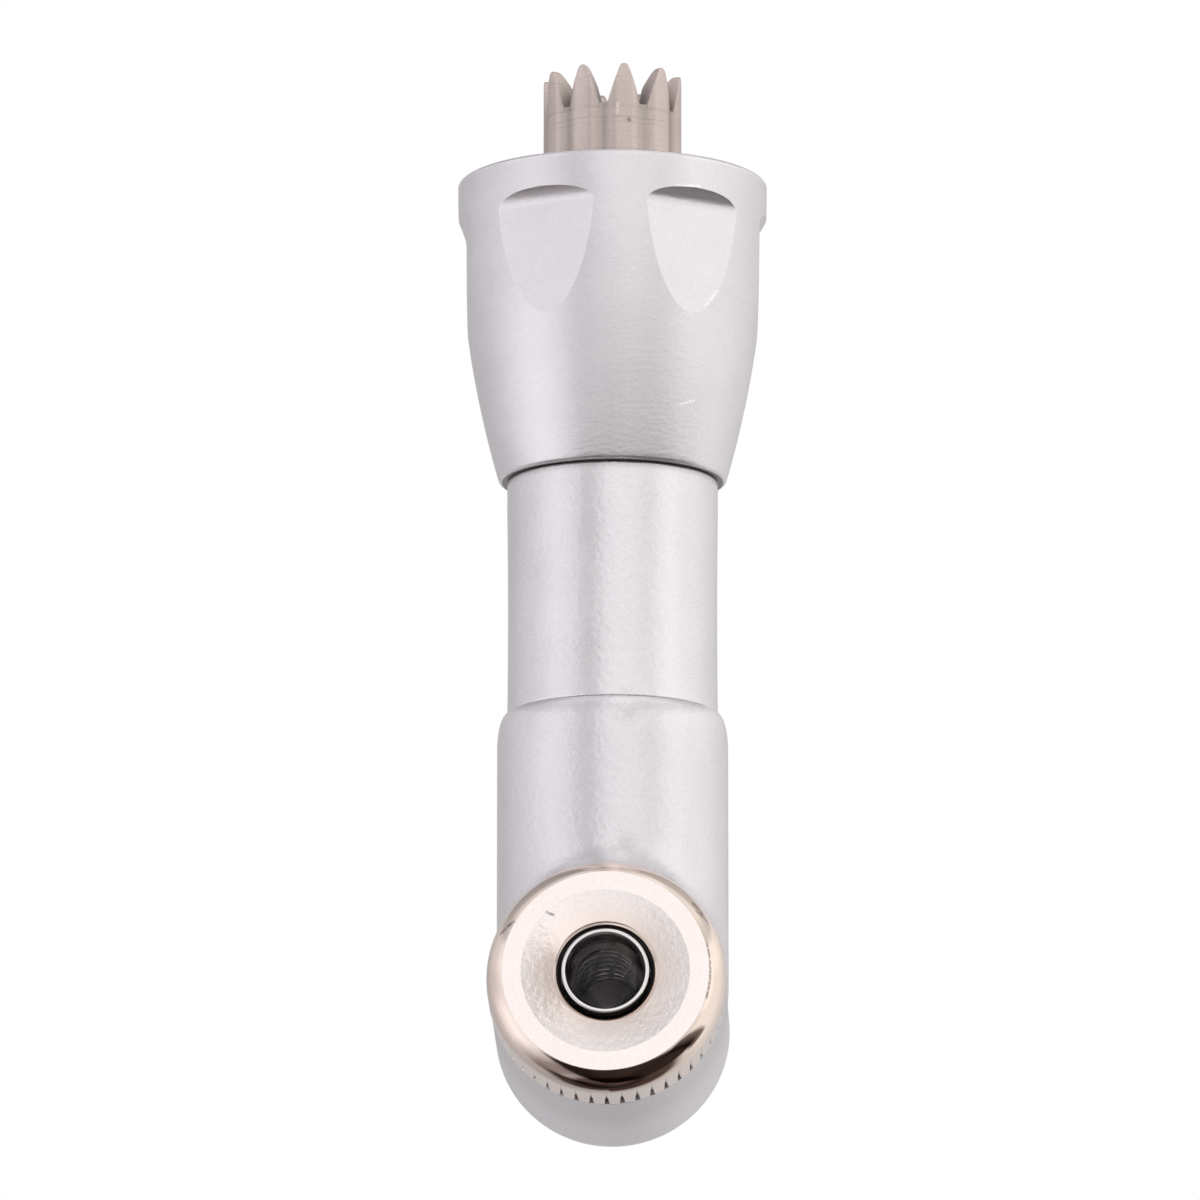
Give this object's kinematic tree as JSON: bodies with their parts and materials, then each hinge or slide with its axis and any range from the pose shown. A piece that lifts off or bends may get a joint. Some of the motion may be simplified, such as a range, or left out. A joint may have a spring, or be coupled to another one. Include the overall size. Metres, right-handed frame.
{
  "type": "dental prophylaxis contra-angle head",
  "caption": "Right-angle prophylaxis head: straight neck, captive coupling nut with finger flats, crown drive gear, knurled front cap and a screw-in spindle on ball bearings.",
  "frame": {"origin": "on the neck's axis, at the foot of the spigot where the driving unit's nose seats", "axes": "+Z along the neck towards the driving unit; the spindle and cap face -Y, tilted 6.8 degrees up; X is across the head"},
  "size_m": [0.0134, 0.0163, 0.0471],
  "materials": {
    "head_satin": "satin plated, fine blasted grain",
    "neck_satin": "satin plated, fine blasted grain",
    "nut_satin": "satin plated, fine turned grain",
    "cap_rose": "warm nickel plate, polished edge, satin face",
    "spindle_steel": "ground and polished",
    "crown_steel": "machined, warm grey",
    "gear_steel": "machined and hardened",
    "shaft_steel": "ground",
    "bearing_steel": "ground and polished",
    "bronze": "machined bronze",
    "washer_steel": "bright rolled",
    "pin_steel": "ground",
    "seal_rubber": "black, matt"
  },
  "bodies": {
    "housing": {"head_housing": "head_satin", "neck_tube": "neck_satin", "front_cap": "cap_rose", "spindle_seal": "seal_rubber", "preload_washer": "washer_steel", "spindle_outer_spacer": "washer_steel", "rear_bush": "bronze", "low_seal_ring": "seal_rubber", "bearing_spacer": "washer_steel", "neck_o_ring": "seal_rubber", "bearing_clip": "pin_steel", "seat_collar": "pin_steel", "index_pin": "pin_steel", "thrust_washer": "bronze", "spindle_front_outer_race": "bearing_steel", "spindle_rear_outer_race": "bearing_steel", "low_outer_race": "bearing_steel", "top_outer_race": "bearing_steel"},
    "drive": {"drive_shaft": "shaft_steel", "drive_pinion": "gear_steel", "shaft_sleeve": "shaft_steel", "crown_gear": "crown_steel", "cross_pin": "pin_steel", "low_inner_race": "bearing_steel", "top_inner_race": "bearing_steel"},
    "spindle_set": {"spindle": "spindle_steel", "spindle_gear": "gear_steel", "spindle_inner_spacer": "washer_steel", "spindle_front_inner_race": "bearing_steel", "spindle_rear_inner_race": "bearing_steel"},
    "nut": {"coupling_nut": "nut_satin"},
    "low_ball_set": {"low_cage": "bronze", "low_balls": "bearing_steel"},
    "top_ball_set": {"top_cage": "bronze", "top_balls": "bearing_steel"},
    "spindle_front_ball_set": {"spindle_front_cage": "bronze", "spindle_front_balls": "bearing_steel"},
    "spindle_rear_ball_set": {"spindle_rear_cage": "bronze", "spindle_rear_balls": "bearing_steel"}
  },
  "joints": [
    {"name": "drive_spin", "type": "hinge", "parent": "housing", "child": "drive", "pos_m": [0, 0, 0], "axis": [0, 0, 1], "continuous": true},
    {"name": "spindle_spin", "type": "hinge", "parent": "housing", "child": "spindle_set", "pos_m": [0, 0, -0.0281], "axis": [0, -0.993, 0.1184], "continuous": true},
    {"name": "nut_spin", "type": "hinge", "parent": "housing", "child": "nut", "pos_m": [0, 0, 0], "axis": [0, 0, 1], "continuous": true},
    {"name": "low_ball_spin", "type": "hinge", "parent": "housing", "child": "low_ball_set", "pos_m": [0, 0, 0], "axis": [0, 0, 1], "continuous": true},
    {"name": "top_ball_spin", "type": "hinge", "parent": "housing", "child": "top_ball_set", "pos_m": [0, 0, 0], "axis": [0, 0, 1], "continuous": true},
    {"name": "spindle_front_ball_spin", "type": "hinge", "parent": "housing", "child": "spindle_front_ball_set", "pos_m": [0, 0, -0.0281], "axis": [0, -0.993, 0.1184], "continuous": true},
    {"name": "spindle_rear_ball_spin", "type": "hinge", "parent": "housing", "child": "spindle_rear_ball_set", "pos_m": [0, 0, -0.0281], "axis": [0, -0.993, 0.1184], "continuous": true}
  ],
  "couplings": [
    {"joint": "spindle_spin", "follows": "drive_spin", "ratio": -0.75},
    {"joint": "low_ball_spin", "follows": "drive_spin", "ratio": 0.4},
    {"joint": "top_ball_spin", "follows": "drive_spin", "ratio": 0.41667},
    {"joint": "spindle_front_ball_spin", "follows": "drive_spin", "ratio": -0.32386},
    {"joint": "spindle_rear_ball_spin", "follows": "drive_spin", "ratio": -0.32386}
  ]
}
